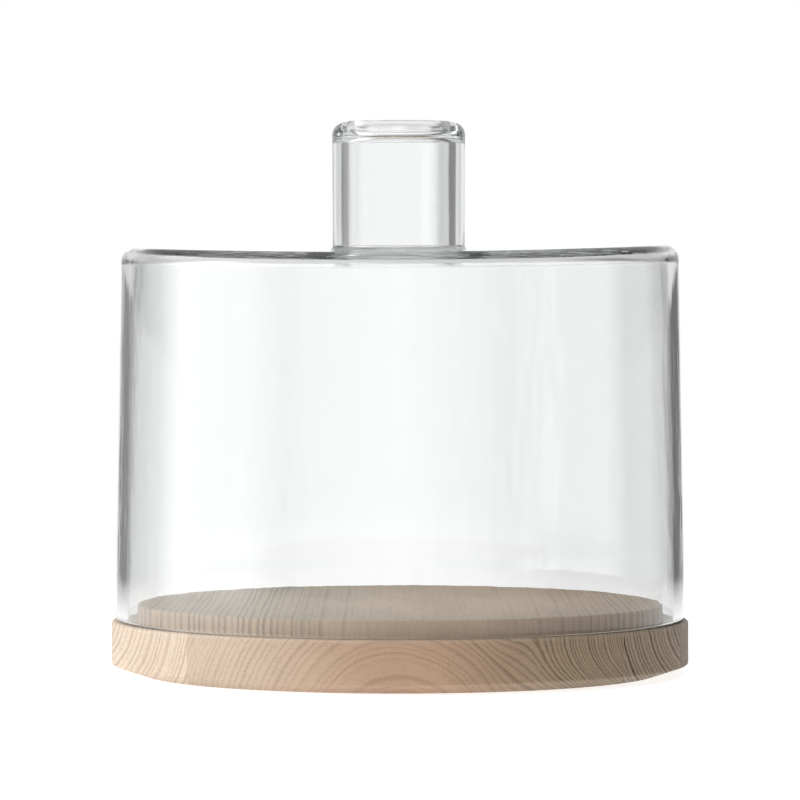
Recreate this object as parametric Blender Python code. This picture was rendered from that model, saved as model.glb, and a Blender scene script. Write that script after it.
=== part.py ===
"""Cake stand: a round ash base with a raised platform, and a glass dome that lifts off it.

Run with:  blender --background --python part.py

Sizes are in metres, +Z is up, and the origin is the centre of the base's underside.
The base is a disc of edge-glued ash staves with an undercut foot. A thinner ash disc, glued on
top, makes the raised platform. The dome is blown glass and stands on the ledge around the
platform. Its handle is a thick glass tube, fused to the crown, with a lip that turns inwards.
"""
import math

import bmesh
import bpy
from mathutils import Vector

# --- Clearances ---------------------------------------------------------------------------

GLUE_GAP = 0.0003            # between faces that are glued, fused or resting on each other

# --- Ash base -----------------------------------------------------------------------------

BASE_DIAMETER = 0.260
BASE_THICKNESS = 0.0240      # from the table to the ledge that the dome stands on
FOOT_UNDERCUT = 0.0138       # how far the foot steps in under the rim of the base
FOOT_HEIGHT = 0.0058         # height of the slanted undercut
BASE_EDGE_RADIUS = 0.0012    # softened upper edge

LEFT_STAVE_WIDTH = 0.0376    # widths are taken across the disc, from its edge inwards
RIGHT_STAVE_WIDTH = 0.0271
EDGE_STAVE_WIDTH = 0.0052    # a last narrow stave outside the right-hand one

# --- Raised platform ----------------------------------------------------------------------

PLATFORM_HEIGHT = 0.0078     # above the ledge
PLATFORM_EDGE_RADIUS = 0.0008
DOME_TO_PLATFORM = 0.0053    # gap all round, so that the dome drops on without touching

# --- Glass dome ---------------------------------------------------------------------------

LEDGE_MARGIN = 0.0022        # ledge that shows outside the dome's rim
DOME_HEIGHT = 0.1670         # rim to the top of the crown
DOME_WALL = 0.0042
DOME_RIM_TUCK = 0.0002       # the rim is drawn in a little below the widest line
BELLY_HEIGHT = 0.0210        # widest line, above the rim
DOME_TAPER = 0.0026          # radius lost from the widest line up to the shoulder
SHOULDER_RADIUS = 0.0060     # outer rounding between the wall and the crown
RIM_RADIUS = 0.0012          # fire-polished rim

# --- Glass handle -------------------------------------------------------------------------

HANDLE_DIAMETER = 0.0606     # over the lip
HANDLE_TAPER = 0.0006        # radius lost from the lip down to the foot
HANDLE_HEIGHT = 0.0572       # crown to the top of the lip
HANDLE_WALL = 0.0072
MOUTH_DIAMETER = 0.0400
LIP_THICKNESS = 0.0086       # depth of the inward lip
LIP_OUTER_RADIUS = 0.0064
LIP_INNER_RADIUS = 0.0036
THROAT_RADIUS = 0.0026       # under the lip, where it meets the bore
FOOT_FLARE = 0.0018          # the fused foot spreads this far over the crown

# --- Mesh fineness ------------------------------------------------------------------------

DISC_SEGMENTS = 80
DOME_SEGMENTS = 80
HANDLE_SEGMENTS = 56
ARC_STEPS = 4
MERGE_DISTANCE = 0.000001

# --- Heights and radii that follow --------------------------------------------------------

BASE_RADIUS = BASE_DIAMETER / 2
DOME_RADIUS = BASE_RADIUS - LEDGE_MARGIN
DOME_RIM_RADIUS = DOME_RADIUS - DOME_RIM_TUCK
PLATFORM_RADIUS = DOME_RIM_RADIUS - DOME_WALL - DOME_TO_PLATFORM
PLATFORM_TOP = BASE_THICKNESS + PLATFORM_HEIGHT
RIM_Z = BASE_THICKNESS + GLUE_GAP
CROWN_Z = RIM_Z + DOME_HEIGHT
HANDLE_RADIUS = HANDLE_DIAMETER / 2
BORE_RADIUS = HANDLE_RADIUS - HANDLE_WALL
HANDLE_FOOT_Z = CROWN_Z + GLUE_GAP
HANDLE_TOP_Z = CROWN_Z + HANDLE_HEIGHT

ASH_PALE = (0.60, 0.44, 0.30)
ASH_PINK = (0.55, 0.36, 0.24)
ASH_DARK = (0.42, 0.30, 0.20)
ASH_TOP = (0.64, 0.52, 0.40)
CLEAR_GLASS = (0.95, 0.97, 0.97)


def clear_scene():
    """Removes every object, so that the model starts from nothing."""
    for old in list(bpy.data.objects):
        bpy.data.objects.remove(old, do_unlink=True)


def make_material(name, colour, roughness, transmission=0.0):
    """A Principled material for one sub-part."""
    material = bpy.data.materials.new(name)
    material.use_nodes = True
    shader = material.node_tree.nodes["Principled BSDF"]
    shader.inputs["Base Color"].default_value = (*colour, 1.0)
    shader.inputs["Roughness"].default_value = roughness
    shader.inputs["Metallic"].default_value = 0.0
    shader.inputs["Transmission Weight"].default_value = transmission
    return material


def round_corner(before, corner, after, radius):
    """Points of the arc that rounds one corner of an outline."""
    to_before = before - corner
    to_after = after - corner
    half_angle = to_before.angle(to_after) / 2
    setback = radius / math.tan(half_angle)
    start = corner + to_before.normalized() * setback
    end = corner + to_after.normalized() * setback
    bisector = (to_before.normalized() + to_after.normalized()).normalized()
    centre = corner + bisector * (radius / math.sin(half_angle))
    points = []
    for step in range(ARC_STEPS + 1):
        spoke = (start - centre).slerp(end - centre, step / ARC_STEPS)
        points.append(centre + spoke.normalized() * radius)
    return points


def outline(corners):
    """Turns (radius, z, rounding) corners into the points of a lathe profile."""
    flat = [Vector((radius, height)) for radius, height, _ in corners]
    points = []
    for index, (_, _, rounding) in enumerate(corners):
        if rounding == 0:
            points.append(flat[index])
            continue
        before = flat[index - 1]
        after = flat[(index + 1) % len(flat)]
        points.extend(round_corner(before, flat[index], after, rounding))
    return points


def turned(corners, segments, closed):
    """Spins a profile around +Z. A closed profile makes a ring, an open one starts and ends on Z."""
    mesh = bmesh.new()
    verts = [mesh.verts.new((point.x, 0.0, point.y)) for point in outline(corners)]
    edges = [mesh.edges.new(pair) for pair in zip(verts, verts[1:])]
    if closed:
        edges.append(mesh.edges.new((verts[-1], verts[0])))
    bmesh.ops.spin(
        mesh, geom=verts + edges, cent=(0, 0, 0), axis=(0, 0, 1),
        angle=math.tau, steps=segments, use_duplicate=False,
    )
    bmesh.ops.remove_doubles(mesh, verts=mesh.verts, dist=MERGE_DISTANCE)
    bmesh.ops.recalc_face_normals(mesh, faces=mesh.faces)
    if mesh.calc_volume(signed=True) < 0:
        bmesh.ops.reverse_faces(mesh, faces=mesh.faces)
    return mesh


def keep_between(mesh, low_x, high_x):
    """Saws a disc down to the slice between two upright planes, and closes the sawn faces."""
    for plane_x, outward in ((low_x, -1.0), (high_x, 1.0)):
        if plane_x is None:
            continue
        cut = bmesh.ops.bisect_plane(
            mesh, geom=mesh.verts[:] + mesh.edges[:] + mesh.faces[:], dist=MERGE_DISTANCE,
            plane_co=(plane_x, 0, 0), plane_no=(outward, 0, 0), clear_outer=True,
        )
        rim = [item for item in cut["geom_cut"] if isinstance(item, bmesh.types.BMEdge)]
        bmesh.ops.contextual_create(mesh, geom=rim)
    bmesh.ops.recalc_face_normals(mesh, faces=mesh.faces)


def place(name, mesh, material, parent):
    """Makes a smooth-shaded object out of a mesh under its body's empty."""
    data = bpy.data.meshes.new(name)
    mesh.to_mesh(data)
    mesh.free()
    data.shade_smooth()
    data.set_sharp_from_angle(angle=math.radians(35))
    data.materials.append(material)
    piece = bpy.data.objects.new(name, data)
    bpy.context.scene.collection.objects.link(piece)
    piece.parent = parent
    return piece


def body_empty(name):
    """The empty that carries the pieces which move together."""
    empty = bpy.data.objects.new(name, None)
    bpy.context.scene.collection.objects.link(empty)
    return empty


def base_blank():
    """The whole base disc, before it is divided into staves."""
    foot_radius = BASE_RADIUS - FOOT_UNDERCUT
    corners = [
        (0, BASE_THICKNESS, 0),
        (BASE_RADIUS, BASE_THICKNESS, BASE_EDGE_RADIUS),
        (BASE_RADIUS, FOOT_HEIGHT, 0),
        (foot_radius, 0, 0),
        (0, 0, 0),
    ]
    return turned(corners, DISC_SEGMENTS, closed=False)


def add_base_staves(parent):
    """The four ash staves of the base, sawn out of the disc with a glue line between them."""
    left_joint = -BASE_RADIUS + LEFT_STAVE_WIDTH
    edge_joint = BASE_RADIUS - EDGE_STAVE_WIDTH
    right_joint = edge_joint - RIGHT_STAVE_WIDTH
    half_gap = GLUE_GAP / 2
    staves = [
        ("base_stave_left", None, left_joint - half_gap, ASH_PALE),
        ("base_stave_centre", left_joint + half_gap, right_joint - half_gap, ASH_PINK),
        ("base_stave_right", right_joint + half_gap, edge_joint - half_gap, ASH_DARK),
        ("base_stave_edge", edge_joint + half_gap, None, ASH_DARK),
    ]
    for name, low_x, high_x, colour in staves:
        mesh = base_blank()
        keep_between(mesh, low_x, high_x)
        place(name, mesh, make_material(name, colour, 0.6), parent)


def add_platform(parent):
    """The raised ash disc that the cake stands on, glued to the middle of the base."""
    corners = [
        (0, PLATFORM_TOP, 0),
        (PLATFORM_RADIUS, PLATFORM_TOP, PLATFORM_EDGE_RADIUS),
        (PLATFORM_RADIUS, BASE_THICKNESS + GLUE_GAP, 0),
        (0, BASE_THICKNESS + GLUE_GAP, 0),
    ]
    mesh = turned(corners, DISC_SEGMENTS, closed=False)
    place("cake_platform", mesh, make_material("cake_platform", ASH_TOP, 0.6), parent)


def add_glass_dome(parent):
    """The blown bell: a tapering wall, a rounded shoulder and a level crown, open underneath."""
    belly_z = RIM_Z + BELLY_HEIGHT
    shoulder = DOME_RADIUS - DOME_TAPER
    inner_shoulder = SHOULDER_RADIUS - DOME_WALL
    corners = [
        (0, CROWN_Z, 0),
        (shoulder, CROWN_Z, SHOULDER_RADIUS),
        (DOME_RADIUS, belly_z, 0),
        (DOME_RIM_RADIUS, RIM_Z, RIM_RADIUS),
        (DOME_RIM_RADIUS - DOME_WALL, RIM_Z, RIM_RADIUS),
        (DOME_RADIUS - DOME_WALL, belly_z, 0),
        (shoulder - DOME_WALL, CROWN_Z - DOME_WALL, inner_shoulder),
        (0, CROWN_Z - DOME_WALL, 0),
    ]
    mesh = turned(corners, DOME_SEGMENTS, closed=False)
    place("glass_dome", mesh, make_material("glass_dome", CLEAR_GLASS, 0.02, 1.0), parent)


def add_glass_handle(parent):
    """The fused handle: a thick tube with a flared foot and a lip turned in over the bore."""
    mouth = MOUTH_DIAMETER / 2
    lip_under_z = HANDLE_TOP_Z - LIP_THICKNESS
    waist = HANDLE_RADIUS - HANDLE_TAPER
    corners = [
        (mouth, HANDLE_TOP_Z, LIP_INNER_RADIUS),
        (HANDLE_RADIUS, HANDLE_TOP_Z, LIP_OUTER_RADIUS),
        (waist, HANDLE_FOOT_Z + FOOT_FLARE, 0),
        (waist + FOOT_FLARE, HANDLE_FOOT_Z, 0),
        (BORE_RADIUS, HANDLE_FOOT_Z, 0),
        (BORE_RADIUS, lip_under_z, THROAT_RADIUS),
        (mouth, lip_under_z, 0),
    ]
    mesh = turned(corners, HANDLE_SEGMENTS, closed=True)
    place("glass_handle", mesh, make_material("glass_handle", CLEAR_GLASS, 0.02, 1.0), parent)


def build():
    """Makes every piece: the wooden base first, then the dome that lifts off along +Z."""
    clear_scene()
    base = body_empty("base_body")
    add_base_staves(base)
    add_platform(base)
    dome = body_empty("dome_body")
    add_glass_dome(dome)
    add_glass_handle(dome)


build()
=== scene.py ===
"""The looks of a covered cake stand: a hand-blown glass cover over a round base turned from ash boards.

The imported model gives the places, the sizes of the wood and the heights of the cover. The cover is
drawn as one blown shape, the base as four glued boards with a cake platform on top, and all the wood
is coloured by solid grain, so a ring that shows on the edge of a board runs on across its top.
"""

import logging
import math
from dataclasses import dataclass
from enum import Enum
from typing import Callable, Iterable, Optional

import bmesh
import bpy
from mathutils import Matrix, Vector, noise


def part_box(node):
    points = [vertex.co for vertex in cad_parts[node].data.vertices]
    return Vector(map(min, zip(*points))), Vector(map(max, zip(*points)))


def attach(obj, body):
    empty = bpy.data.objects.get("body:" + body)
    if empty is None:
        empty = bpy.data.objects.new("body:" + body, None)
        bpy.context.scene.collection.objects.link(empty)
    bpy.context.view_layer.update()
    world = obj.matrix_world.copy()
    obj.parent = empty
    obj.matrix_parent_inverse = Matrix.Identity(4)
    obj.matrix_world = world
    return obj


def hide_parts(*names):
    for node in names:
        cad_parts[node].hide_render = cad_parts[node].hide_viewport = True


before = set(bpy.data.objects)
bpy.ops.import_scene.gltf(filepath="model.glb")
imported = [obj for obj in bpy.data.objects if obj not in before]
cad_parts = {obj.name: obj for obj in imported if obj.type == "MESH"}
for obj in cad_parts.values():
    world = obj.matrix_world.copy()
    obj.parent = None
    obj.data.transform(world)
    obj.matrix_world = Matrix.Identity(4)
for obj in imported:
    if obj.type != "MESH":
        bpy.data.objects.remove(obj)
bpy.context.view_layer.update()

log = logging.getLogger("cake_stand")

# How far beside each rounding an extra ring keeps the flat next to it truly flat, in metres.
GUARD = 0.00015
# Edges that bend by more than these stay sharp, in degrees.
SHARP_WOOD = 35.0
SHARP_GLASS = 60.0
# A corner that bends by less than this stays a plain point, in degrees.
STRAIGHT_ENOUGH = 1.0
# A point this close to the axis or to a saw cut counts as lying on it, in metres.
TOUCHING = 1e-6
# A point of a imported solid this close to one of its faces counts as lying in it, in metres.
IN_FACE = 1e-5
# Plain white. As a tone it leaves the colour under it as it is.
WHITE = (1.0, 1.0, 1.0, 1.0)

Colour = tuple[float, float, float]
Shift = Callable[[Vector], Vector]


class Body(Enum):
    """The two things that part when the cover is lifted."""

    STAND = "base"
    COVER = "dome"


class Slot(Enum):
    """The material slots of the record, as noted on each finish."""

    PALE = "ash_pale"
    HEART = "ash_heart"
    DARK = "ash_dark"
    PLATFORM = "ash_platform"
    GLASS = "blown_glass"


# ---------------------------------------------------------------- turned shapes


@dataclass(frozen=True)
class Corner:
    """A corner of a turned outline: its distance from the axis, its height and its rounding."""

    radius: float
    height: float
    rounding: float = 0.0

    def point(self) -> Vector:
        """The corner as a 2-D point."""
        return Vector((self.radius, self.height))


def clamped(value: float) -> float:
    """Holds a value between 0 and 1."""
    return max(0.0, min(1.0, value))


def rounded(corners: list[Corner], steps: int) -> list[Vector]:
    """Works out an outline with its corners rounded off.

    Each rounding has a guard point just outside both of its ends, so that smooth shading doesn't
    run from the rounding into the flats beside it.

    Args:
        corners: the corners in order, from the axis round and back to the axis.
        steps: how many chords each rounding gets.

    Returns:
        The points of the outline, as (distance from the axis, height).
    """
    points = [corners[0].point()]
    for before, corner, after in zip(corners, corners[1:], corners[2:]):
        tip = corner.point()
        back = (before.point() - tip).normalized()
        ahead = (after.point() - tip).normalized()
        half_angle = back.angle(ahead) / 2
        if corner.rounding <= 0 or half_angle > math.radians(90 - STRAIGHT_ENOUGH / 2):
            points.append(tip)
            continue
        centre = tip + (back + ahead).normalized() * corner.rounding / math.sin(half_angle)
        first = tip + back * corner.rounding / math.tan(half_angle) - centre
        last = tip + ahead * corner.rounding / math.tan(half_angle) - centre
        sweep = first.angle_signed(last)
        points.append(centre + first + back * GUARD)
        for step in range(steps + 1):
            turn = -sweep * step / steps
            cosine, sine = math.cos(turn), math.sin(turn)
            spoke = Vector((first.x * cosine - first.y * sine, first.x * sine + first.y * cosine))
            points.append(centre + spoke)
        points.append(centre + last + ahead * GUARD)
    points.append(corners[-1].point())
    return points


def divided(points: list[Vector], longest: float) -> list[Vector]:
    """Splits the long straight stretches of an outline.

    Args:
        points: the outline.
        longest: the longest stretch to leave, in metres.

    Returns:
        The outline with points added along its long stretches.
    """
    result = [points[0]]
    for start, end in zip(points, points[1:]):
        pieces = max(1, math.ceil((end - start).length / longest))
        result += [start.lerp(end, piece / pieces) for piece in range(1, pieces + 1)]
    return result


def turned(outline: list[Vector], segments: int, shift: Optional[Shift] = None) -> bmesh.types.BMesh:
    """Turns a closed outline about the Z axis into a solid.

    Args:
        outline: points from the axis round and back to the axis.
        segments: how many steps the turn has.
        shift: moves each point off its true place, for hand-made shapes.

    Returns:
        The solid.
    """
    mesh = bmesh.new()
    rings: list[list[bmesh.types.BMVert]] = []
    for point in outline:
        count = 1 if point.x < TOUCHING else segments
        ring = []
        for step in range(count):
            turn = 2 * math.pi * step / segments
            place = Vector((point.x * math.cos(turn), point.x * math.sin(turn), point.y))
            ring.append(mesh.verts.new(shift(place) if shift else place))
        rings.append(ring)
    for lower, upper in zip(rings, rings[1:]):
        for step in range(segments):
            following = (step + 1) % segments
            if len(lower) == 1:
                mesh.faces.new((lower[0], upper[following], upper[step]))
            elif len(upper) == 1:
                mesh.faces.new((lower[step], lower[following], upper[0]))
            else:
                mesh.faces.new((lower[step], lower[following], upper[following], upper[step]))
    return mesh


def keep_side(mesh: bmesh.types.BMesh, across: float, side: int) -> None:
    """Saws a solid along a plane that faces X and keeps one side of it.

    Args:
        mesh: the solid, which is changed.
        across: where the plane crosses the X axis.
        side: +1 keeps what is at greater X, -1 what is at smaller X.
    """
    geometry = mesh.verts[:] + mesh.edges[:] + mesh.faces[:]
    cut = bmesh.ops.bisect_plane(
        mesh,
        geom=geometry,
        dist=TOUCHING,
        plane_co=(across, 0, 0),
        plane_no=(side, 0, 0),
        clear_inner=True,
    )
    edges = [item for item in cut["geom_cut"] if isinstance(item, bmesh.types.BMEdge)]
    bmesh.ops.contextual_create(mesh, geom=edges)


def as_object(name: str, mesh: bmesh.types.BMesh, sharp_angle: float) -> bpy.types.Object:
    """Puts a finished mesh into the scene.

    Args:
        name: the piece's name.
        mesh: the solid, which is freed.
        sharp_angle: edges that bend by more than this stay sharp, in degrees.

    Returns:
        The new object.
    """
    bmesh.ops.recalc_face_normals(mesh, faces=mesh.faces[:])
    if mesh.calc_volume(signed=True) < 0:
        bmesh.ops.reverse_faces(mesh, faces=mesh.faces[:])
    data = bpy.data.meshes.new(name)
    mesh.to_mesh(data)
    mesh.free()
    data.shade_smooth()
    data.set_sharp_from_angle(angle=math.radians(sharp_angle))
    piece = bpy.data.objects.new(name, data)
    bpy.context.scene.collection.objects.link(piece)
    return piece


# ---------------------------------------------------------------- wiring of shader nodes


class Wiring:
    """A node tree with short calls for the nodes that the finishes use."""

    # Where a Mix node keeps its factor and its two colours, and its two plain values.
    COLOUR_MIX_INPUTS = (0, 6, 7)
    COLOUR_MIX_OUTPUT = 2
    VALUE_MIX_INPUTS = (0, 2, 3)

    def __init__(self, tree: bpy.types.NodeTree) -> None:
        """Starts on a tree that is emptied first."""
        self.tree = tree
        tree.nodes.clear()

    def plug(self, socket: bpy.types.NodeSocket, value: object) -> None:
        """Links a socket to another one, or sets its value.

        Args:
            socket: the input.
            value: an output socket, or a plain value.
        """
        if isinstance(value, bpy.types.NodeSocket):
            self.tree.links.new(value, socket)
        else:
            socket.default_value = value

    def add(self, kind: str, inputs: Optional[dict] = None, **settings: object) -> bpy.types.Node:
        """Adds a node.

        Args:
            kind: the node's type, without its ShaderNode prefix.
            inputs: values or sockets by input name.
            settings: the node's own settings.

        Returns:
            The node.
        """
        node = self.tree.nodes.new("ShaderNode" + kind)
        for key, value in settings.items():
            setattr(node, key, value)
        for key, value in (inputs or {}).items():
            self.plug(node.inputs[key], value)
        return node

    def math(self, operation: str, *values: object) -> bpy.types.NodeSocket:
        """Adds a Math node and returns its output."""
        node = self.add("Math", operation=operation)
        for socket, value in zip(node.inputs, values):
            self.plug(socket, value)
        return node.outputs[0]

    def ramp(self, value: object, low: object, high: object) -> bpy.types.NodeSocket:
        """A smooth rise from 0 to 1 as value goes from low to high."""
        limits = {"Value": value, "From Min": low, "From Max": high}
        return self.add("MapRange", limits, interpolation_type="SMOOTHSTEP").outputs["Result"]

    def rescale(self, value: object, low: object, high: object) -> bpy.types.NodeSocket:
        """A value from 0 to 1 spread over low to high."""
        limits = {"Value": value, "To Min": low, "To Max": high}
        return self.add("MapRange", limits).outputs["Result"]

    def sum_of_squares(self, first: object, second: object) -> bpy.types.NodeSocket:
        """The sum of the squares of two values."""
        squares = [self.math("MULTIPLY", value, value) for value in (first, second)]
        return self.math("ADD", *squares)

    def blend(
        self, factor: object, first: object, second: object, mode: str = "MIX"
    ) -> bpy.types.NodeSocket:
        """Mixes two colours and returns the result."""
        node = self.add("Mix", data_type="RGBA", blend_type=mode)
        for place, value in zip(self.COLOUR_MIX_INPUTS, (factor, first, second)):
            self.plug(node.inputs[place], value)
        return node.outputs[self.COLOUR_MIX_OUTPUT]

    def tinted(self, colour: object, tone: object) -> bpy.types.NodeSocket:
        """A colour multiplied by a tone."""
        return self.blend(1.0, colour, tone, "MULTIPLY")

    def group(self, tree: bpy.types.NodeTree, values: dict) -> bpy.types.NodeOutputs:
        """Places a node group.

        Args:
            tree: the group.
            values: values or sockets by input name.

        Returns:
            The group's outputs.
        """
        return self.add("Group", values, node_tree=tree).outputs

    def scaled(self, vector: object, factors: Iterable[float], offset: object) -> bpy.types.NodeSocket:
        """A vector stretched along its axes and moved by an offset."""
        node = self.add("VectorMath", operation="MULTIPLY_ADD")
        self.plug(node.inputs[0], vector)
        self.plug(node.inputs[1], tuple(factors))
        self.plug(node.inputs[2], offset)
        return node.outputs[0]

    def cloud(self, vector: object, detail: float = 2.0, roughness: float = 0.5) -> bpy.types.NodeSocket:
        """Soft noise from 0 to 1 with features about one unit apart."""
        inputs = {"Vector": vector, "Scale": 1.0, "Detail": detail, "Roughness": roughness}
        return self.add("TexNoise", inputs).outputs["Fac"]

    def line_noise(self, value: object, detail: float = 0.0) -> bpy.types.NodeSocket:
        """Soft noise from 0 to 1 along a single value."""
        inputs = {"W": value, "Scale": 1.0, "Detail": detail}
        return self.add("TexNoise", inputs, noise_dimensions="1D").outputs["Fac"]


def new_group(name: str, inputs: dict[str, str], outputs: dict[str, str]) -> tuple[Wiring, dict, dict]:
    """Starts a shader node group.

    Args:
        name: the group's name.
        inputs: socket types by input name, as Float, Vector or Color.
        outputs: socket types by output name.

    Returns:
        The wiring of the group, its input sockets and its output sockets, by name.
    """
    tree = bpy.data.node_groups.new(name, "ShaderNodeTree")
    wiring = Wiring(tree)
    for label, kind in inputs.items():
        tree.interface.new_socket(name=label, in_out="INPUT", socket_type="NodeSocket" + kind)
    for label, kind in outputs.items():
        tree.interface.new_socket(name=label, in_out="OUTPUT", socket_type="NodeSocket" + kind)
    entry = tree.nodes.new("NodeGroupInput")
    leave = tree.nodes.new("NodeGroupOutput")
    given = {socket.name: socket for socket in entry.outputs if socket.name}
    result = {socket.name: socket for socket in leave.inputs if socket.name}
    return wiring, given, result


class EffectGroups:
    """The node groups that more than one finish uses. Each is built once.

    The stretches below say how many features of an effect fit into a metre along X, Y and Z. The
    grain runs along Y, so the features are long that way.
    """

    BROAD_BEND = (42.0, 5.0, 42.0)
    FINE_RIPPLE = (420.0, 26.0, 420.0)
    STREAK = (900.0, 16.0, 900.0)
    PORE = (2300.0, 130.0, 2300.0)
    MOTTLE = (42.0, 14.0, 42.0)
    RUB_PATCH = (160.0, 160.0, 160.0)
    # How strong the fine ripple is beside the broad bend.
    RIPPLE_SHARE = 0.6
    # Over what distance the rings start to sweep, and change from one crowding to the other.
    SWEEP_REACH = 0.04
    CROWDING_REACH = 0.02
    # How many waves of uneven growth fit into a year, and by how many years they shift a ring.
    UNEVEN_WAVES = 0.45
    UNEVEN_YEARS = 1.1
    # The parts of a year in which late wood comes and goes.
    LATE_COMES = (0.35, 0.86)
    LATE_GOES = (0.9, 1.0)
    # How many fine lines a year has.
    LINES_A_YEAR = 4.3
    # How far from the pith the heartwood ends and the outer wood starts.
    HEART_TO_OUTER = (0.022, 0.085)
    # The levels of the pore noise at which a pore opens.
    PORE_OPENS = (0.56, 0.76)
    # How faint and how strong the patches of wear are.
    PATCHINESS = (0.2, 1.4)

    def __init__(self) -> None:
        """Builds every group."""
        self.rings = self._growth_rings()
        self.fibres = self._fibres()
        self.rubbed = self._rubbed_edges()

    def _growth_rings(self) -> bpy.types.NodeTree:
        """Yearly rings round a pith that runs along Y.

        Returns:
            The group. Late Wood is the dense, darker end of each ring, Year Tone differs from
            ring to ring, Fine Lines are the thin lines within a ring, and Age goes from 0 by the
            pith to 1 in the outer wood.
        """
        inputs = {
            "Position": "Vector",
            "Pith X": "Float",
            "Pith Z": "Float",
            "Spacing": "Float",
            "Crowding Left": "Float",
            "Crowding Right": "Float",
            "Sweep From": "Float",
            "Sweep": "Float",
            "Sweep Top": "Float",
            "Wander": "Float",
            "Seed": "Float",
        }
        outputs = {"Late Wood": "Float", "Year Tone": "Float", "Fine Lines": "Float", "Age": "Float"}
        w, given, result = new_group("Growth Rings", inputs, outputs)
        axes = w.add("SeparateXYZ", {"Vector": given["Position"]}).outputs
        across = w.math("SUBTRACT", axes["X"], given["Pith X"])
        up = w.math("SUBTRACT", axes["Z"], given["Pith Z"])
        swept = w.ramp(across, given["Sweep From"], w.math("ADD", given["Sweep From"], self.SWEEP_REACH))
        up = w.math("MULTIPLY", up, w.math("SUBTRACT", 1.0, swept))
        below = w.math("SUBTRACT", given["Sweep Top"], axes["Z"])
        drop = w.math("MULTIPLY", below, below)
        sweep = w.math("MULTIPLY", drop, w.math("MULTIPLY", swept, given["Sweep"]))
        squared = w.sum_of_squares(across, up)
        bend = w.cloud(w.scaled(given["Position"], self.BROAD_BEND, given["Seed"]))
        ripple = w.cloud(w.scaled(given["Position"], self.FINE_RIPPLE, given["Seed"]), 3.0, 0.6)
        shaken = w.math("MULTIPLY", w.math("SUBTRACT", ripple, 0.5), self.RIPPLE_SHARE)
        waver = w.math("MULTIPLY", w.math("ADD", w.math("SUBTRACT", bend, 0.5), shaken), given["Wander"])
        distance = w.math("SUBTRACT", w.math("ADD", w.math("SQRT", squared), waver), sweep)
        crowding = w.add("Mix", data_type="FLOAT")
        side = w.ramp(across, -self.CROWDING_REACH, self.CROWDING_REACH)
        sides = (side, given["Crowding Left"], given["Crowding Right"])
        for place, value in zip(w.VALUE_MIX_INPUTS, sides):
            w.plug(crowding.inputs[place], value)
        extra = w.math("MULTIPLY", w.math("POWER", distance, 3.0), crowding.outputs[0])
        years = w.math("ADD", w.math("DIVIDE", distance, given["Spacing"]), extra)
        waves = w.math("MULTIPLY", years, self.UNEVEN_WAVES)
        uneven = w.line_noise(w.math("ADD", waves, given["Seed"]))
        years = w.math("ADD", years, w.math("MULTIPLY", uneven, self.UNEVEN_YEARS))
        part = w.math("FRACT", years)
        kept = w.math("SUBTRACT", 1.0, w.ramp(part, *self.LATE_GOES))
        late = w.math("MULTIPLY", w.ramp(part, *self.LATE_COMES), kept)
        year = w.math("ADD", w.math("FLOOR", years), given["Seed"])
        tone = w.add("TexWhiteNoise", {"W": year}, noise_dimensions="1D").outputs["Value"]
        w.plug(result["Late Wood"], late)
        w.plug(result["Year Tone"], tone)
        w.plug(result["Fine Lines"], w.line_noise(w.math("MULTIPLY", years, self.LINES_A_YEAR), 1.0))
        w.plug(result["Age"], w.ramp(distance, *self.HEART_TO_OUTER))
        return w.tree

    def _fibres(self) -> bpy.types.NodeTree:
        """Wood fibres and open pores that run along Y.

        Returns:
            The group. Streaks vary softly along the grain, Pores is 1 inside a pore, and
            Mottle is a broad unevenness of the whole board.
        """
        outputs = {"Streaks": "Float", "Pores": "Float", "Mottle": "Float"}
        w, given, result = new_group("Wood Fibres", {"Position": "Vector", "Seed": "Float"}, outputs)
        position, seed = given["Position"], given["Seed"]
        streaks = w.cloud(w.scaled(position, self.STREAK, seed), 3.0, 0.6)
        pores = w.cloud(w.scaled(position, self.PORE, seed), 1.0)
        w.plug(result["Streaks"], streaks)
        w.plug(result["Pores"], w.ramp(pores, *self.PORE_OPENS))
        w.plug(result["Mottle"], w.cloud(w.scaled(position, self.MOTTLE, seed), 2.0))
        return w.tree

    def _rubbed_edges(self) -> bpy.types.NodeTree:
        """Wear along a round arris.

        Returns:
            The group. Wear is 1 on the arris at that radius and height, and fades over Reach.
        """
        inputs = {
            "Position": "Vector",
            "Radius": "Float",
            "Height": "Float",
            "Reach": "Float",
            "Seed": "Float",
        }
        w, given, result = new_group("Rubbed Edges", inputs, {"Wear": "Float"})
        axes = w.add("SeparateXYZ", {"Vector": given["Position"]}).outputs
        from_axis = w.math("SQRT", w.sum_of_squares(axes["X"], axes["Y"]))
        outward = w.math("SUBTRACT", from_axis, given["Radius"])
        upward = w.math("SUBTRACT", axes["Z"], given["Height"])
        away = w.math("SQRT", w.sum_of_squares(outward, upward))
        nearness = w.math("SUBTRACT", 1.0, w.ramp(w.math("DIVIDE", away, given["Reach"]), 0.0, 1.0))
        patches = w.cloud(w.scaled(given["Position"], self.RUB_PATCH, given["Seed"]))
        w.plug(result["Wear"], w.math("MULTIPLY", nearness, w.rescale(patches, *self.PATCHINESS)))
        return w.tree


# ---------------------------------------------------------------- finishes


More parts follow.
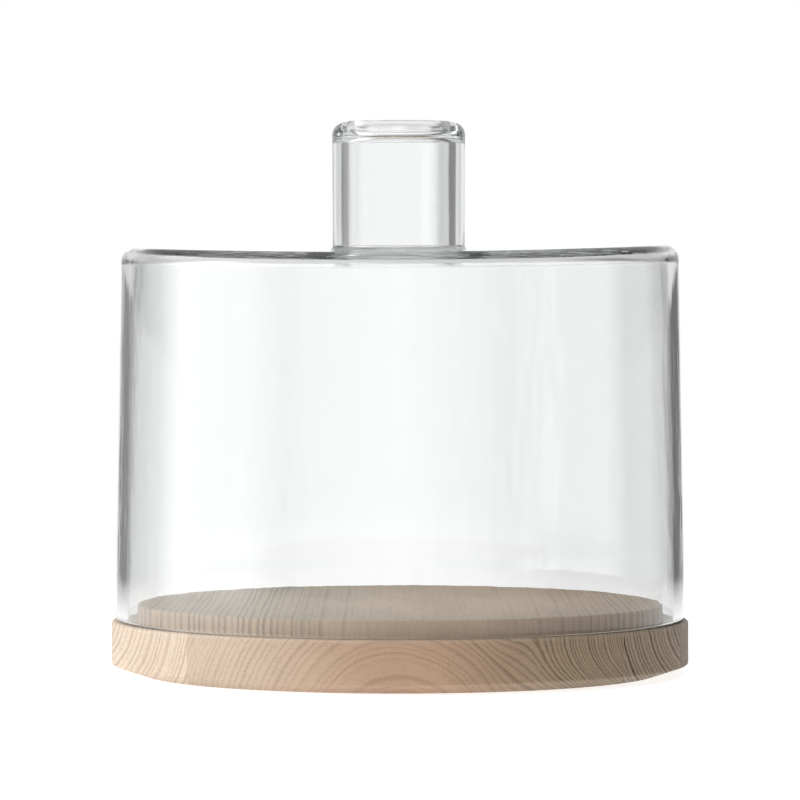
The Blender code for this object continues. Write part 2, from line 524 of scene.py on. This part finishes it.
@dataclass(frozen=True)
class AshFinish:
    """Oiled ash, cut from one part of a log.

    The tones multiply the wood's colour on the far left, as painted light, on the far right, as painted
    shade, and on a level face, which they make lighter partly as face grain and partly as painted light
    from above and sheen. The contrasts beside them multiply the strength of its rings there.
    """

    name: str
    slot: Slot
    pith: tuple[float, float]
    spacing: float
    pale: Colour
    late: Colour
    contrast: float
    year_contrast: float
    seed: float
    # Painted light lightens and whitens the far left, painted shade darkens the far right, and a level
    # face is made lighter partly as face grain and partly as painted light from above and sheen. The
    # side contrasts weaken or strengthen the rings to go with the painted light and shade.
    left_painted_light: Colour = (1.0, 1.0, 1.0)
    right_painted_shade: Colour = (1.0, 1.0, 1.0)
    side_contrast_with_painted_light: tuple[float, float] = (1.0, 1.0)
    face_tone_and_painted_top_light: Colour = (1.12, 1.12, 1.12)
    face_contrast: float = 0.6
    painted_light_reach: float = 0.085
    crowding: tuple[float, float] = (0.0, 0.0)
    sweep_from: float = 1.0
    sweep: float = 0.0
    heart_contrast: float = 1.0
    fine_contrast: float = 0.5
    wander: float = 0.0016
    rim_radius: float = 0.130
    rim_height: float = 0.024
    rim_reach: float = 0.0022
    worn: Colour = (0.86, 0.76, 0.64)
    wear: float = 0.22
    polish_of_wear: float = 0.08
    gloss: float = 0.42
    roughness: tuple[float, float] = (0.44, 0.64)
    relief: float = 0.00012
    relief_strength: float = 0.4
    ring_relief: float = 0.5
    streak_contrast: float = 0.5
    mottle: tuple[float, float] = (0.86, 1.14)
    pore_shade: tuple[float, float] = (1.02, 0.70)
    level_face: tuple[float, float] = (0.6, 0.95)

    def material(self, effects: EffectGroups) -> bpy.types.Material:
        """Builds the material.

        Args:
            effects: the shared node groups.

        Returns:
            The new material.
        """
        material = bpy.data.materials.new(self.name)
        material.use_nodes = True
        material.diffuse_color = (*self.pale, 1.0)
        w = Wiring(material.node_tree)
        place = w.add("TexCoord").outputs
        spot = {"Position": place["Object"], "Seed": self.seed}
        log_cut = {
            "Pith X": self.pith[0],
            "Pith Z": self.pith[1],
            "Spacing": self.spacing,
            "Crowding Left": self.crowding[0],
            "Crowding Right": self.crowding[1],
            "Sweep From": self.sweep_from,
            "Sweep": self.sweep,
            "Sweep Top": self.rim_height,
            "Wander": self.wander,
        }
        arris = {"Radius": self.rim_radius, "Height": self.rim_height, "Reach": self.rim_reach}
        rings = w.group(effects.rings, spot | log_cut)
        fibres = w.group(effects.fibres, spot)
        wear = w.group(effects.rubbed, spot | arris)["Wear"]
        # The colour takes the painted light and shade of the board from here.
        colour = self.colour(w, rings, fibres, *self.painted_light_and_face_tone(w, place))
        colour = w.blend(w.math("MULTIPLY", wear, self.wear), colour, (*self.worn, 1.0))
        roughness = w.rescale(fibres["Streaks"], *self.roughness)
        smoother = w.math("MULTIPLY", wear, self.polish_of_wear)
        roughness = w.math("SUBTRACT", roughness, smoother)
        dips = w.math("MULTIPLY", fibres["Pores"], -1.0)
        height = w.math("ADD", dips, w.math("MULTIPLY", rings["Late Wood"], self.ring_relief))
        relief = {"Height": height, "Strength": self.relief_strength, "Distance": self.relief}
        bump = w.add("Bump", relief)
        shader = w.add("BsdfPrincipled", {"Base Color": colour, "Roughness": roughness})
        shader.inputs["Specular IOR Level"].default_value = self.gloss
        w.plug(shader.inputs["Normal"], bump.outputs["Normal"])
        output = w.add("OutputMaterial")
        w.plug(output.inputs["Surface"], shader.outputs["BSDF"])
        return material

    def painted_light_and_face_tone(
        self, w: Wiring, place: bpy.types.NodeOutputs
    ) -> tuple[bpy.types.NodeSocket, bpy.types.NodeSocket]:
        """How the board's tone and the strength of its rings drift over it.

        Both go one way to the left of the pith, as painted light, and another way to its right, as
        painted shade, and change once more on a face that lies level, which is lighter partly as face
        grain and partly as painted light from above and sheen.

        Args:
            w: the material's wiring.
            place: the coordinates on the board.

        Returns:
            The colour that the wood is multiplied by, which carries the painted light and shade, and the
            strength of the rings.
        """
        east = w.add("SeparateXYZ", {"Vector": place["Object"]}).outputs["X"]
        across = w.math("SUBTRACT", east, self.pith[0])
        to_left = w.ramp(w.math("MULTIPLY", across, -1.0), 0.0, self.painted_light_reach)
        to_right = w.ramp(across, 0.0, self.painted_light_reach)
        # Painted light on the left of the pith, painted shade on its right.
        left = w.blend(to_left, WHITE, (*self.left_painted_light, 1.0))
        tone = w.blend(to_right, left, (*self.right_painted_shade, 1.0))
        # A level face is made lighter, partly as face grain and partly as painted light from above and
        # sheen.
        facing_up = w.add("SeparateXYZ", {"Vector": place["Normal"]}).outputs["Z"]
        level = w.ramp(facing_up, *self.level_face)
        tone = w.tinted(tone, w.blend(level, WHITE, (*self.face_tone_and_painted_top_light, 1.0)))
        extra_left, extra_right = (self.contrast * (side - 1.0) for side in self.side_contrast_with_painted_light)
        strength = w.math("MULTIPLY", to_left, extra_left)
        strength = w.math("ADD", strength, w.math("MULTIPLY", to_right, extra_right))
        strength = w.math("ADD", strength, self.contrast)
        return tone, w.math("MULTIPLY", strength, w.rescale(level, 1.0, self.face_contrast))

    def colour(
        self, w: Wiring, rings: object, fibres: object, tone: object, contrast: object
    ) -> bpy.types.NodeSocket:
        """Mixes the wood's colour.

        Args:
            w: the material's wiring.
            rings: outputs of the growth rings.
            fibres: outputs of the wood fibres.
            tone: the painted light and shade across the board, and the lighter level faces.
            contrast: how strongly the rings show.

        Returns:
            The colour.
        """
        year = w.rescale(rings["Year Tone"], 1.0 - self.year_contrast, 1.0)
        age = w.rescale(rings["Age"], self.heart_contrast, 1.0)
        strength = w.math("MULTIPLY", age, contrast)
        depth = w.math("MULTIPLY", w.math("MULTIPLY", rings["Late Wood"], year), strength)
        lines = w.math("MULTIPLY", w.math("SUBTRACT", rings["Fine Lines"], 0.5), strength)
        streaks = w.math("SUBTRACT", fibres["Streaks"], 0.5)
        streaks = w.math("MULTIPLY", streaks, self.streak_contrast)
        factor = w.math("ADD", depth, w.math("MULTIPLY", lines, self.fine_contrast))
        factor = w.add("Clamp", {"Value": w.math("ADD", factor, streaks)}).outputs["Result"]
        colour = w.blend(factor, (*self.pale, 1.0), (*self.late, 1.0))
        mottle = w.rescale(fibres["Mottle"], *self.mottle)
        shade = w.math("MULTIPLY", mottle, w.rescale(fibres["Pores"], *self.pore_shade))
        grey = w.add("CombineColor", dict.fromkeys(("Red", "Green", "Blue"), shade)).outputs["Color"]
        # The wood's colour is multiplied here by the painted light and shade.
        return w.tinted(w.tinted(colour, grey), tone)


@dataclass(frozen=True)
class BlownGlassFinish:
    """Clear hand-blown glass with faint cords in it."""

    name: str = "blown_glass"
    slot: Slot = Slot.GLASS
    tint: Colour = (0.978, 0.985, 0.984)
    bend: float = 1.5
    depth_colour: Colour = (0.54, 0.575, 0.58)
    depth_density: float = 7.0
    cord: tuple[float, float, float] = (55.0, 55.0, 18.0)
    cord_start: tuple[float, float, float] = (3.0, 7.0, 1.0)
    cord_relief: float = 0.0004
    cord_strength: float = 0.25

    def material(self) -> bpy.types.Material:
        """Builds the material."""
        material = bpy.data.materials.new(self.name)
        material.use_nodes = True
        material.diffuse_color = (0.9, 0.95, 0.95, 0.3)
        w = Wiring(material.node_tree)
        position = w.add("TexCoord").outputs["Object"]
        cords = w.cloud(w.scaled(position, self.cord, self.cord_start), 2.0)
        relief = {"Height": cords, "Strength": self.cord_strength, "Distance": self.cord_relief}
        bump = w.add("Bump", relief)
        shader = w.add("BsdfPrincipled")
        shader.inputs["Base Color"].default_value = (*self.tint, 1.0)
        shader.inputs["Roughness"].default_value = 0.0
        shader.inputs["IOR"].default_value = self.bend
        shader.inputs["Transmission Weight"].default_value = 1.0
        w.plug(shader.inputs["Normal"], bump.outputs["Normal"])
        depth = w.add("VolumeAbsorption")
        depth.inputs["Color"].default_value = (*self.depth_colour, 1.0)
        depth.inputs["Density"].default_value = self.depth_density
        output = w.add("OutputMaterial")
        w.plug(output.inputs["Surface"], shader.outputs["BSDF"])
        w.plug(output.inputs["Volume"], depth.outputs["Volume"])
        return material


def dress(
    piece: bpy.types.Object,
    material: bpy.types.Material,
    body: Body,
    nodes: Iterable[str],
) -> None:
    """Gives a piece its finish and ties it to the frame.

    Args:
        piece: the new object.
        material: its finish.
        body: the body that it moves with.
        nodes: the plain solids that it stands for.
    """
    piece.data.materials.append(material)
    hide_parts(*nodes)
    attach(piece, body.value)
    faces = len(piece.data.polygons)
    log.info("%s: %d faces, moves with %s, finish %s", piece.name, faces, body.value, material.name)


# ---------------------------------------------------------------- the wooden stand


@dataclass
class AshBase:
    """The round base: four ash boards glued side by side and turned together."""

    effects: EffectGroups
    rounding: float = 0.0013
    foot_rounding: float = 0.0006
    glue_line: float = 0.00003
    segments: int = 288
    rounding_steps: int = 6

    def __post_init__(self) -> None:
        """Reads the base's size and the places of its glue joints from the frame."""
        far_corners = [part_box(name)[1] for name in self.boards()]
        self.radius = max(corner.x for corner in far_corners)
        self.thickness = max(corner.z for corner in far_corners)
        self.joints = [corner.x for corner in far_corners[:-1]]

    def boards(self) -> dict[str, AshFinish]:
        """The boards from left to right, by node name, with their finishes."""
        return {
            "base_stave_left": AshFinish(
                name="ash_sapwood_left",
                slot=Slot.PALE,
                pith=(-0.153, 0.030),
                spacing=0.0022,
                pale=(0.72, 0.585, 0.46),
                late=(0.36, 0.24, 0.16),
                contrast=0.72,
                year_contrast=0.6,
                seed=3.0,
            ),
            "base_stave_centre": AshFinish(
                name="ash_heart_centre",
                slot=Slot.HEART,
                pith=(0.001, -0.019),
                spacing=0.0050,
                crowding=(1.15e4, 2.9e4),
                sweep_from=0.038,
                sweep=24.0,
                pale=(0.50, 0.325, 0.215),
                late=(0.16, 0.095, 0.06),
                contrast=0.75,
                year_contrast=0.6,
                heart_contrast=0.35,
                # Painted light whitens the left of this board and painted shade darkens its right; the
                # rings are faded on the left and strengthened on the right to go with them.
                left_painted_light=(1.20, 1.45, 1.65),
                right_painted_shade=(0.72, 0.82, 0.80),
                side_contrast_with_painted_light=(0.45, 1.7),
                seed=11.0,
            ),
            "base_stave_right": AshFinish(
                name="ash_outer_right",
                slot=Slot.DARK,
                pith=(0.153, 0.030),
                spacing=0.0016,
                pale=(0.37, 0.28, 0.19),
                late=(0.05, 0.032, 0.020),
                contrast=1.0,
                year_contrast=0.45,
                seed=23.0,
            ),
            "base_stave_edge": AshFinish(
                name="ash_outer_edge",
                slot=Slot.DARK,
                pith=(0.190, 0.020),
                spacing=0.0021,
                pale=(0.29, 0.225, 0.165),
                late=(0.20, 0.14, 0.10),
                contrast=0.35,
                year_contrast=0.6,
                seed=31.0,
            ),
        }

    def outline(self) -> list[Vector]:
        """The base's outline, from the middle of its foot to the middle of its top."""
        return rounded(
            [
                Corner(0, 0),
                Corner(self.foot_radius(), 0, self.foot_rounding),
                Corner(self.radius, self.undercut_height(), self.rounding),
                Corner(self.radius, self.thickness, self.rounding),
                Corner(0, self.thickness),
            ],
            self.rounding_steps,
        )

    def foot_radius(self) -> float:
        """The radius of the flat that the base stands on."""
        points = [v.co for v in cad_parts["base_stave_centre"].data.vertices]
        return max(math.hypot(p.x, p.y) for p in points if abs(p.z) < IN_FACE)

    def undercut_height(self) -> float:
        """The height at which the sloping underside meets the upright edge."""
        points = [v.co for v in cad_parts["base_stave_left"].data.vertices]
        edge = -self.radius + IN_FACE
        return min(p.z for p in points if p.x < edge) - self.rounding

    def build(self) -> None:
        """Makes the four boards."""
        cuts = [-2 * self.radius, *self.joints, 2 * self.radius]
        for (name, finish), start, end in zip(self.boards().items(), cuts, cuts[1:]):
            mesh = turned(self.outline(), self.segments)
            if start > -self.radius:
                keep_side(mesh, start + self.glue_line, 1)
            if end < self.radius:
                keep_side(mesh, end - self.glue_line, -1)
            piece = as_object(name + "_board", mesh, SHARP_WOOD)
            dress(piece, finish.material(self.effects), Body.STAND, [name])


@dataclass
class CakePlatform:
    """The raised disc that the cake stands on."""

    effects: EffectGroups
    rounding: float = 0.0009
    sink: float = 0.00025
    segments: int = 256
    rounding_steps: int = 6

    def build(self) -> None:
        """Makes the disc."""
        low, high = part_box("cake_platform")
        finish = AshFinish(
            name="ash_platform",
            slot=Slot.PLATFORM,
            pith=(0.018, 0.026),
            spacing=0.0028,
            pale=(0.80, 0.585, 0.40),
            late=(0.30, 0.185, 0.10),
            contrast=0.8,
            year_contrast=0.7,
            # Painted light on the left of the platform, painted shade on its right, and a top made
            # lighter and whiter partly as face grain and partly as painted light from above and sheen.
            left_painted_light=(1.06, 1.16, 1.28),
            right_painted_shade=(0.80, 0.75, 0.68),
            face_tone_and_painted_top_light=(1.08, 1.16, 1.24),
            heart_contrast=0.15,
            face_contrast=0.65,
            seed=47.0,
            rim_radius=high.x,
            rim_height=high.z,
        )
        corners = [
            Corner(0, low.z - self.sink),
            Corner(high.x, low.z - self.sink),
            Corner(high.x, high.z, self.rounding),
            Corner(0, high.z),
        ]
        mesh = turned(rounded(corners, self.rounding_steps), self.segments)
        piece = as_object("cake_platform_disc", mesh, SHARP_WOOD)
        dress(piece, finish.material(self.effects), Body.STAND, ["cake_platform"])


# ---------------------------------------------------------------- the glass cover


@dataclass
class GlassCover:
    """The blown cover: a straight-sided bell with a hollow tube for a handle, fused to its crown.

    The crown sags a little, lies tilted and saddle-shaped, and leaves the tube leaning; the lean
    fades out over the crown, at shares of its radius. The wall wavers gently, but runs true near
    its rim, and the sag sets in near the crown, both at shares of the cover's height.
    """

    wall: float = 0.0042
    crown_radius: float = 0.1254
    belly_radius: float = 0.1280
    belly_above_rim: float = 0.0210
    rim_radius: float = 0.12775
    shoulder: float = 0.0060
    rim_rounding: float = 0.0012
    crown_dip: float = 0.0009
    crown_dish: float = 0.0010
    crown_saddle: float = 0.0011
    crown_tilt: float = 0.0007
    tube_foot_radius: float = 0.0298
    tube_top_radius: float = 0.0300
    bore_radius: float = 0.0230
    mouth_radius: float = 0.0200
    bore_floor: float = 0.0005
    bore_rounding: float = 0.0014
    throat_starts: float = 0.0080
    throat_ends: float = 0.0070
    throat_roundings: tuple[float, float] = (0.0030, 0.0026)
    mouth_rounding: float = 0.0036
    lip_rounding: float = 0.0064
    weld_rounding: float = 0.0022
    belly_rounding: float = 0.30
    shoulder_thinning: float = 0.0030
    tube_lean: float = 0.00055
    lean_ends: float = 0.6
    lean_fade: float = 0.3
    sag_starts: float = 0.80
    sag_fade: float = 0.20
    weld_height: float = 0.003
    true_above_rim: float = 0.12
    waver: float = 0.00022
    waver_round: float = 18
    waver_up: float = 26
    waver_size: float = 0.16
    segments: int = 240
    rounding_steps: int = 10
    longest_step: float = 0.004

    def __post_init__(self) -> None:
        """Reads the cover's heights from the frame."""
        low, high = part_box("glass_dome")
        self.rim = low.z
        self.crown = high.z - self.crown_dip
        self.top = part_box("glass_handle")[1].z

    def outline(self) -> list[Vector]:
        """The cover's outline, from the floor of the handle's bore round to the crown's underside."""
        wall = self.wall
        under = self.crown - wall
        floor = self.crown + self.bore_floor
        belly = self.rim + self.belly_above_rim
        corners = [
            Corner(0, floor),
            Corner(self.bore_radius, floor, self.bore_rounding),
            Corner(self.bore_radius, self.top - self.throat_starts, self.throat_roundings[0]),
            Corner(self.mouth_radius, self.top - self.throat_ends, self.throat_roundings[1]),
            Corner(self.mouth_radius, self.top, self.mouth_rounding),
            Corner(self.tube_top_radius, self.top, self.lip_rounding),
            Corner(self.tube_foot_radius, self.crown, self.weld_rounding),
            Corner(self.crown_radius, self.crown, self.shoulder),
            Corner(self.belly_radius, belly, self.belly_rounding),
            Corner(self.rim_radius, self.rim, self.rim_rounding),
            Corner(self.rim_radius - wall, self.rim, self.rim_rounding),
            Corner(self.belly_radius - wall, belly, self.belly_rounding),
            Corner(self.crown_radius - wall, under, self.shoulder - self.shoulder_thinning),
            Corner(0, under),
        ]
        return divided(rounded(corners, self.rounding_steps), self.longest_step)

    def hand_blown(self, place: Vector) -> Vector:
        """Moves a point of the true shape to where the glassblower left it.

        Args:
            place: a point of the true turned shape.

        Returns:
            The point on the blown shape.
        """
        radius = math.hypot(place.x, place.y)
        if radius < TOUCHING:
            return place
        turn = math.atan2(place.y, place.x)
        cosine, sine = math.cos(turn), math.sin(turn)
        share = min(1.0, radius / self.crown_radius)
        rise = (place.z - self.rim) / (self.crown - self.rim)
        lifted = clamped((rise - self.sag_starts) / self.sag_fade) ** 2
        above = clamped((place.z - self.crown) / self.weld_height)
        height = share**2 * (self.crown_dish + self.crown_saddle * math.cos(2 * turn))
        height += share * self.crown_tilt * cosine
        round_x, round_y = self.waver_round * cosine * share, self.waver_round * sine * share
        spot = Vector((round_x, round_y, place.z * self.waver_up))
        wander = noise.noise(spot * self.waver_size + Vector((4.0, 9.0, 0.0)))
        outward = self.waver * wander * clamped(rise / self.true_above_rim)
        fading = (self.crown_radius * self.lean_ends - radius) / (self.crown_radius * self.lean_fade)
        result = place.copy()
        result.x += outward * cosine
        result.y += outward * sine
        result.x -= self.tube_lean * clamped(fading)
        result.z += height * lifted * (1.0 - above)
        return result

    def build(self) -> None:
        """Makes the cover as one fused piece of glass."""
        finish = BlownGlassFinish()
        mesh = turned(self.outline(), self.segments, self.hand_blown)
        piece = as_object("blown_cover", mesh, SHARP_GLASS)
        dress(piece, finish.material(), Body.COVER, ["glass_dome", "glass_handle"])


# ---------------------------------------------------------------- the studio


@dataclass(frozen=True)
class Panel:
    """Where a stretch of the studio's round wall has a given brightness.

    The turn is counted in degrees from straight behind the object, and grows to the right.
    """

    turn: float
    brightness: float


@dataclass
class Studio:
    """A plain pale floor, a softly lit round room and the camera.

    The wall is bright and dim in stretches, in three bands that blend into each other over the
    given heights, in degrees above the horizon. White paper hangs straight behind the object: it
    is seen, and lights nothing, and it ends between the two turns to each side.
    """

    camera_distance: float = 2.5
    camera_height: float = 0.20
    aim_height: float = 0.1229
    lens: float = 249.7
    glass_bounces: int = 64
    floor_radius: float = 0.8
    floor_fades_from: float = 0.35
    floor_drop: float = 0.0004
    floor_colour: Colour = (0.62, 0.615, 0.61)
    floor_seen: float = 0.80
    floor_bounce: float = 0.62
    ceiling: float = 0.7
    low_to_eye_level: tuple[float, float] = (-0.25, -0.02)
    eye_level_to_high: tuple[float, float] = (13.0, 24.0)
    high_to_ceiling: tuple[float, float] = (32.0, 60.0)
    white_behind: tuple[float, float] = (7.0, 14.0)
    high_wall: tuple[Panel, ...] = (
        Panel(-180, 0.9),
        Panel(-150, 1.9),
        Panel(-110, 3.1),
        Panel(-65, 2.6),
        Panel(-50, 0.6),
        Panel(30, 0.6),
        Panel(50, 0.15),
        Panel(150, 0.15),
        Panel(180, 0.9),
    )
    eye_level_wall: tuple[Panel, ...] = (
        Panel(-180, 0.35),
        Panel(-132, 0.4),
        Panel(-112, 2.4),
        Panel(-78, 2.4),
        Panel(-64, 0.27),
        Panel(-38, 0.27),
        Panel(-33, 0.70),
        Panel(-15, 0.74),
        Panel(-5, 1.1),
        Panel(5, 1.1),
        Panel(15, 0.72),
        Panel(33, 0.82),
        Panel(38, 0.26),
        Panel(104, 0.15),
        Panel(180, 0.35),
    )
    low_wall: tuple[Panel, ...] = (
        Panel(-180, 0.35),
        Panel(-132, 0.4),
        Panel(-112, 2.4),
        Panel(-78, 2.4),
        Panel(-64, 0.7),
        Panel(-40, 0.7),
        Panel(-34, 0.26),
        Panel(-15, 0.26),
        Panel(-11.5, 0.95),
        Panel(-2.4, 0.98),
        Panel(-1.0, 1.15),
        Panel(0.8, 1.15),
        Panel(2.4, 0.88),
        Panel(11.5, 0.86),
        Panel(15, 0.17),
        Panel(34, 0.17),
        Panel(42, 0.5),
        Panel(60, 0.4),
        Panel(104, 0.15),
        Panel(180, 0.35),
    )

    def wall(self, w: Wiring, share: object, panels: tuple[Panel, ...]) -> bpy.types.NodeSocket:
        """The brightness of one height of the wall, all the way round.

        Args:
            w: the world's wiring.
            share: the turn round the room, from 0 to 1.
            panels: the bright and dim stretches.

        Returns:
            The colour.
        """
        ramp = w.add("ValToRGB", {"Fac": share})
        stops = ramp.color_ramp.elements
        while len(stops) < len(panels):
            stops.new(0.5)
        for stop, panel in zip(stops, panels):
            stop.position = panel.turn / 360 + 0.5
            stop.color = (panel.brightness, panel.brightness, panel.brightness, 1.0)
        return ramp.outputs["Color"]

    def world(self) -> None:
        """Lights the room: its wall by the turn round the object, fading to the ceiling."""
        world = bpy.data.worlds.new("studio")
        world.use_nodes = True
        w = Wiring(world.node_tree)
        axes = w.add("SeparateXYZ", {"Vector": w.add("TexCoord").outputs["Generated"]}).outputs
        turn = w.math("ARCTAN2", axes["X"], axes["Y"])
        share = w.math("ADD", w.math("DIVIDE", turn, 2 * math.pi), 0.5)
        rise = w.math("MULTIPLY", w.math("ARCSINE", axes["Z"]), 180 / math.pi)
        bands = (self.low_wall, self.eye_level_wall, self.high_wall)
        low, middle, high = (self.wall(w, share, band) for band in bands)
        colour = w.blend(w.ramp(rise, *self.low_to_eye_level), low, middle)
        away = w.math("ABSOLUTE", rise)
        colour = w.blend(w.ramp(away, *self.eye_level_to_high), colour, high)
        level = (self.ceiling, self.ceiling, self.ceiling, 1.0)
        colour = w.blend(w.ramp(rise, *self.high_to_ceiling), colour, level)
        edges = (math.radians(angle) for angle in self.white_behind)
        paper = w.math("SUBTRACT", 1.0, w.ramp(w.math("ABSOLUTE", turn), *edges))
        paper = w.math("MULTIPLY", paper, w.add("LightPath").outputs["Is Camera Ray"])
        colour = w.blend(paper, colour, WHITE)
        light = w.add("Background", {"Color": colour})
        output = w.add("OutputWorld")
        w.plug(output.inputs["Surface"], light.outputs["Background"])
        bpy.context.scene.world = world

    def floor(self) -> None:
        """Lays a pale disc that fades out into the room."""
        mesh = bmesh.new()
        bmesh.ops.create_circle(mesh, cap_ends=True, segments=96, radius=self.floor_radius)
        floor = as_object("floor", mesh, SHARP_WOOD)
        floor.location.z = -self.floor_drop
        material = bpy.data.materials.new("pale_floor")
        material.use_nodes = True
        w = Wiring(material.node_tree)
        far = w.add("VectorMath", operation="LENGTH")
        w.plug(far.inputs[0], w.add("TexCoord").outputs["Object"])
        fade_start = self.floor_fades_from * self.floor_radius
        fade = w.math("SUBTRACT", 1.0, w.ramp(far.outputs["Value"], fade_start, self.floor_radius))
        seen = w.add("LightPath").outputs["Is Camera Ray"]
        glow = w.rescale(seen, self.floor_bounce, self.floor_seen)
        shader = w.add("BsdfPrincipled", {"Alpha": fade, "Emission Strength": glow})
        shader.inputs["Roughness"].default_value = 0.9
        shader.inputs["Base Color"].default_value = (*self.floor_colour, 1.0)
        shader.inputs["Emission Color"].default_value = WHITE
        output = w.add("OutputMaterial")
        w.plug(output.inputs["Surface"], shader.outputs["BSDF"])
        floor.data.materials.append(material)

    def camera(self) -> None:
        """Sets up the camera in front of the object, a little above its crown."""
        data = bpy.data.cameras.new("camera")
        data.lens = self.lens
        data.sensor_width = 36.0
        data.clip_end = 20.0
        camera = bpy.data.objects.new("camera", data)
        camera.location = (0, -self.camera_distance, self.camera_height)
        aim = Vector((0, 0, self.aim_height)) - camera.location
        camera.rotation_euler = aim.to_track_quat("-Z", "Y").to_euler()
        bpy.context.scene.collection.objects.link(camera)
        bpy.context.scene.camera = camera

    def build(self) -> None:
        """Makes the whole studio."""
        self.world()
        self.floor()
        self.camera()
        scene = bpy.context.scene
        scene.view_settings.view_transform = "Standard"
        # Light goes round inside the glass many times before it leaves an edge.
        scene.cycles.max_bounces = self.glass_bounces
        scene.cycles.transmission_bounces = self.glass_bounces
        scene.cycles.glossy_bounces = self.glass_bounces
        log.info("studio: floor, round wall and camera")


def main() -> None:
    """Builds the stand, the cover and the studio."""
    logging.basicConfig(level=logging.INFO, format="%(name)s: %(message)s")
    effects = EffectGroups()
    AshBase(effects).build()
    CakePlatform(effects).build()
    GlassCover().build()
    Studio().build()


if __name__ == "__main__":
    main()
